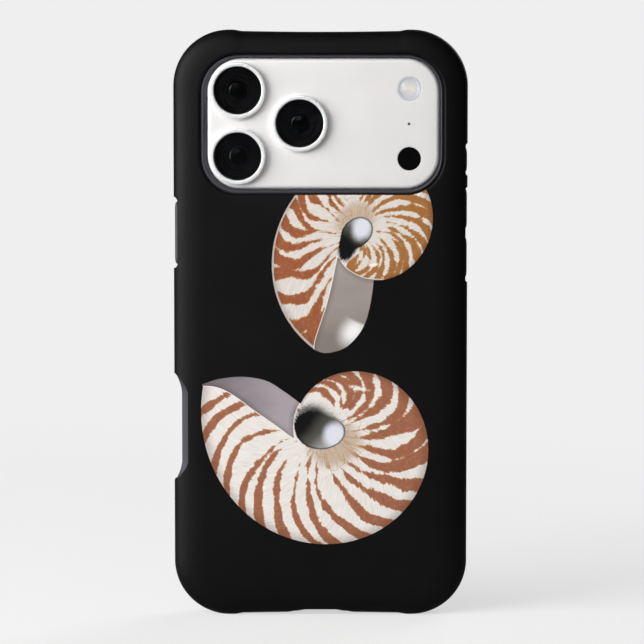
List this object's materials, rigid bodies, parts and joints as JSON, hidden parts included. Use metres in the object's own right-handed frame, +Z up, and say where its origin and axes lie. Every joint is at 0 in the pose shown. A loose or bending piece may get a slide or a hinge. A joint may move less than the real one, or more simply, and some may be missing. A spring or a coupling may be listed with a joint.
{
  "type": "smartphone in a two-layer protective case",
  "caption": "Large smartphone standing upright in a two-layer protective case: a hard shell with a printed back over a flexible liner, open at the cameras and the charging port.",
  "frame": {"origin": "on the ground under the middle of the whole object", "axes": "+Z up the phone, +Y out of the display, -Y out of the printed back, +X to the right seen from the back"},
  "size_m": [0.0864, 0.0142, 0.1727],
  "materials": {
    "shell": "black hard plastic with a fine satin grain",
    "liner": "dark grey flexible plastic, matt",
    "cover": "dark grey flexible plastic, softly rounded",
    "aluminium": "pale silver, fine bead-blasted and anodised",
    "lens_ring": "pale silver, polished rim",
    "inlay": "white back glass, matt",
    "lens_glass": "coated lens cover glass, polished",
    "display_glass": "display cover glass, polished",
    "display": "dark display panel, switched off",
    "barrel": "black matt lens barrel",
    "element": "dark coated lens element",
    "flash": "ribbed clear flash lens",
    "led": "yellow phosphor",
    "dark_window": "black polished window",
    "mesh": "fine dark woven mesh",
    "steel": "plain steel"
  },
  "bodies": {
    "case_and_phone": {"hard_shell": "shell", "inner_liner": "liner", "phone_body": "aluminium", "rear_inlay": "inlay", "display_glass": "display_glass", "display_panel": "display", "front_camera_lens": "element", "earpiece_grille": "mesh", "camera_control": "aluminium", "port_shell": "steel", "port_tongue": "barrel", "port_screw_left": "steel", "port_screw_right": "steel", "lens_ring_upper": "lens_ring", "lens_ring_lower": "lens_ring", "lens_ring_middle": "lens_ring", "lens_glass_upper": "lens_glass", "lens_glass_lower": "lens_glass", "lens_glass_middle": "lens_glass", "lens_barrel_upper": "barrel", "lens_barrel_lower": "barrel", "lens_barrel_middle": "barrel", "lens_element_upper": "element", "lens_element_lower": "element", "lens_element_middle": "element", "flash_lens": "flash", "flash_led": "led", "depth_window": "dark_window", "rear_mic_mesh": "mesh"},
    "action_key": {"action_cover": "cover", "action_button": "aluminium"},
    "volume_up_key": {"volume_up_cover": "cover", "volume_up_button": "aluminium"},
    "volume_down_key": {"volume_down_cover": "cover", "volume_down_button": "aluminium"},
    "side_key": {"side_cover": "cover", "side_button": "aluminium"}
  },
  "joints": [
    {"name": "action_press", "type": "slide", "parent": "case_and_phone", "child": "action_key", "axis": [-1, 0, 0], "range_m": [0, 0.0003], "stiffness_N_per_m": 150},
    {"name": "volume_up_press", "type": "slide", "parent": "case_and_phone", "child": "volume_up_key", "axis": [-1, 0, 0], "range_m": [0, 0.0003], "stiffness_N_per_m": 150},
    {"name": "volume_down_press", "type": "slide", "parent": "case_and_phone", "child": "volume_down_key", "axis": [-1, 0, 0], "range_m": [0, 0.0003], "stiffness_N_per_m": 150},
    {"name": "side_press", "type": "slide", "parent": "case_and_phone", "child": "side_key", "axis": [1, 0, 0], "range_m": [0, 0.0003], "stiffness_N_per_m": 150}
  ]
}
